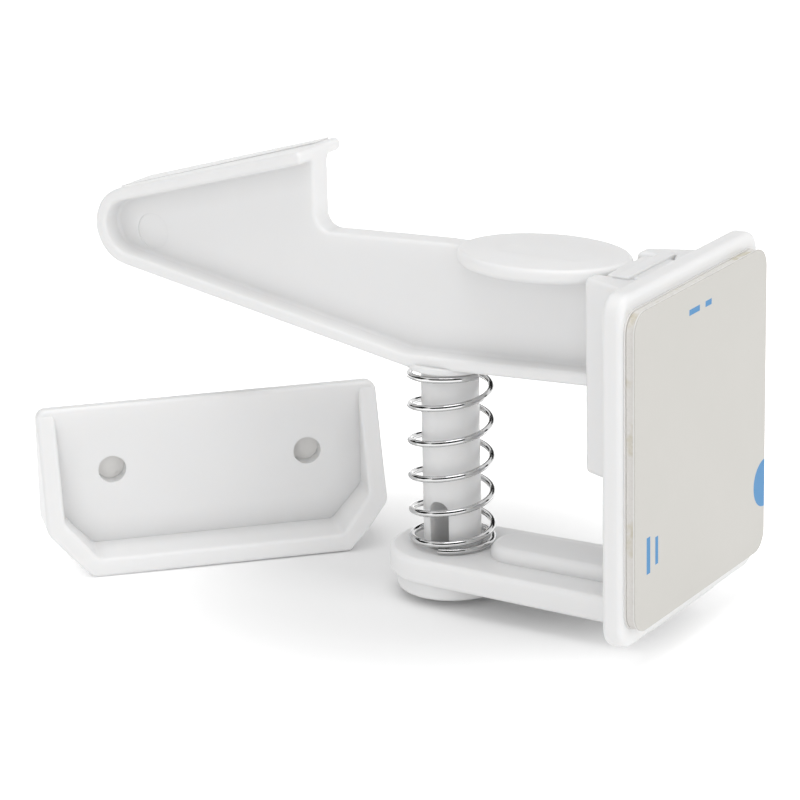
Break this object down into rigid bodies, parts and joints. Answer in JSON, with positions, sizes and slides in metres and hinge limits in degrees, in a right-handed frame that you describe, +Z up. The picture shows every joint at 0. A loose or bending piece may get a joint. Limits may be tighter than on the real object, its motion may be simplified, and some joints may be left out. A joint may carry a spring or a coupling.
{
  "type": "cabinet safety lock",
  "caption": "Press-down cabinet latch with a hooked arm on a sprung post, an adhesive mounting plate, and the separate strike that it hooks.",
  "frame": {"origin": "middle of the latch plate's adhesive face, on the release liner", "axes": "+X out of the adhesive face, towards the cabinet door that it sticks to; +Y to the left of someone who looks along +X, the same as the other side but for the post's slot and the loose strike; +Z up, square to the shelf, the way the thumb pad faces"},
  "size_m": [0.0967, 0.0435, 0.0616],
  "materials": {
    "white_plastic": "satin moulded",
    "spring_steel": "bright drawn wire",
    "adhesive": "tacky film",
    "foam": "closed-cell foam",
    "liner": "waxed paper"
  },
  "bodies": {
    "base": {"base_bracket": "white_plastic", "return_spring": "spring_steel", "plate_inner_adhesive": "adhesive", "plate_foam_pad": "foam", "plate_outer_adhesive": "adhesive", "plate_release_liner": "liner"},
    "arm": {"latch_arm": "white_plastic"},
    "strike": {"strike_plate": "white_plastic", "strike_inner_adhesive": "adhesive", "strike_foam_pad": "foam", "strike_outer_adhesive": "adhesive", "strike_release_liner": "liner"}
  },
  "joints": [
    {"name": "arm_press", "type": "slide", "parent": "base", "child": "arm", "axis": [0, 0, -1], "range_m": [0, 0.01], "stiffness_N_per_m": 340, "springref_m": -0.008, "deforming": ["return_spring"]},
    {"name": "strike_slide_away", "type": "slide", "parent": "base", "child": "strike", "axis": [-1, 0, 0], "range_m": [0, 0.06]}
  ]
}
